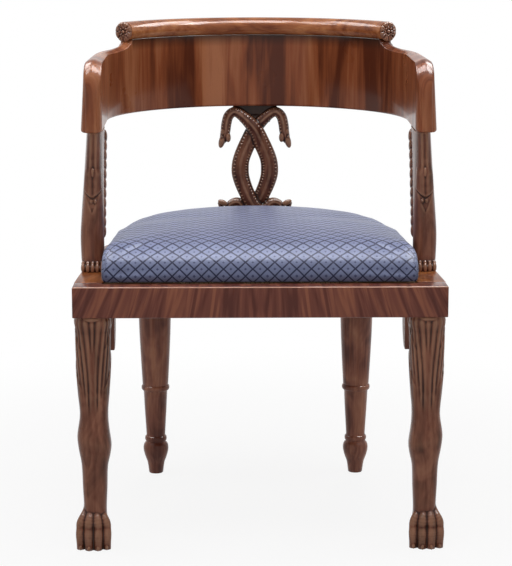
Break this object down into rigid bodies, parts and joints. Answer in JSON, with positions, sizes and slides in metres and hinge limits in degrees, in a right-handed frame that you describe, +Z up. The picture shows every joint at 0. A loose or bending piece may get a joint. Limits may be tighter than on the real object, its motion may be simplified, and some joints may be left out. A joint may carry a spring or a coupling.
{
  "type": "desk armchair",
  "caption": "Wooden desk armchair with a horseshoe back, rolled crest, entwined serpent splat, paw-footed front legs, turned rear legs and a lift-out upholstered seat.",
  "frame": {"origin": "on the floor, under the middle of the chair's outline seen from above", "axes": "+Z up, -Y to the front where the sitter faces, +X to the right of someone who looks at the chair's front"},
  "size_m": [0.6, 0.5895, 0.8286],
  "materials": {
    "mahogany": "French polish",
    "carved_mahogany": "waxed carving",
    "beech": "bare",
    "screw_steel": "dull",
    "jute": "woven",
    "horsehair": "loose filling",
    "blue_silk": "woven lozenges with a soft sheen"
  },
  "bodies": {
    "frame": {"front_rail": "mahogany", "side_rail_left": "mahogany", "side_rail_right": "mahogany", "back_rail_left": "mahogany", "back_rail_centre": "mahogany", "back_rail_right": "mahogany", "front_leg_left": "carved_mahogany", "front_leg_right": "carved_mahogany", "haunch_bracket_left": "carved_mahogany", "haunch_bracket_right": "carved_mahogany", "rear_leg_left": "mahogany", "rear_leg_right": "mahogany", "arm_support_left": "carved_mahogany", "arm_support_right": "carved_mahogany", "arm_left": "mahogany", "arm_right": "mahogany", "back_panel": "mahogany", "crest_rail": "mahogany", "rosette_left": "carved_mahogany", "rosette_right": "carved_mahogany", "serpent_splat": "carved_mahogany", "front_corner_block_left": "beech", "front_corner_block_right": "beech", "rear_corner_block_left": "beech", "rear_corner_block_right": "beech", "front_block_screw_left": "screw_steel", "front_block_screw_right": "screw_steel", "side_block_screw_left": "screw_steel", "side_block_screw_right": "screw_steel", "rear_block_rail_screw_left": "screw_steel", "rear_block_rail_screw_right": "screw_steel", "rear_block_arc_screw_left": "screw_steel", "rear_block_arc_screw_right": "screw_steel", "front_leg_dowel_left": "beech", "front_leg_dowel_right": "beech", "rail_dowel_left": "beech", "rail_dowel_right": "beech", "support_foot_dowel_left": "beech", "support_foot_dowel_right": "beech", "support_head_dowel_left": "beech", "support_head_dowel_right": "beech", "arm_dowel_left": "beech", "arm_dowel_right": "beech", "crest_dowel_left": "beech", "crest_dowel_right": "beech"},
    "drop_in_seat": {"seat_bar_front": "beech", "seat_bar_left": "beech", "seat_bar_right": "beech", "seat_bar_back_left": "beech", "seat_bar_back_right": "beech", "webbing_long_1": "jute", "webbing_long_2": "jute", "webbing_long_3": "jute", "webbing_cross_1": "jute", "webbing_cross_2": "jute", "webbing_cross_3": "jute", "base_cloth": "jute", "seat_stuffing": "horsehair", "seat_cover": "blue_silk"}
  },
  "joints": [
    {"name": "seat_lift", "type": "slide", "parent": "frame", "child": "drop_in_seat", "axis": [0, 0, 1], "range_m": [0, 0.12]}
  ]
}
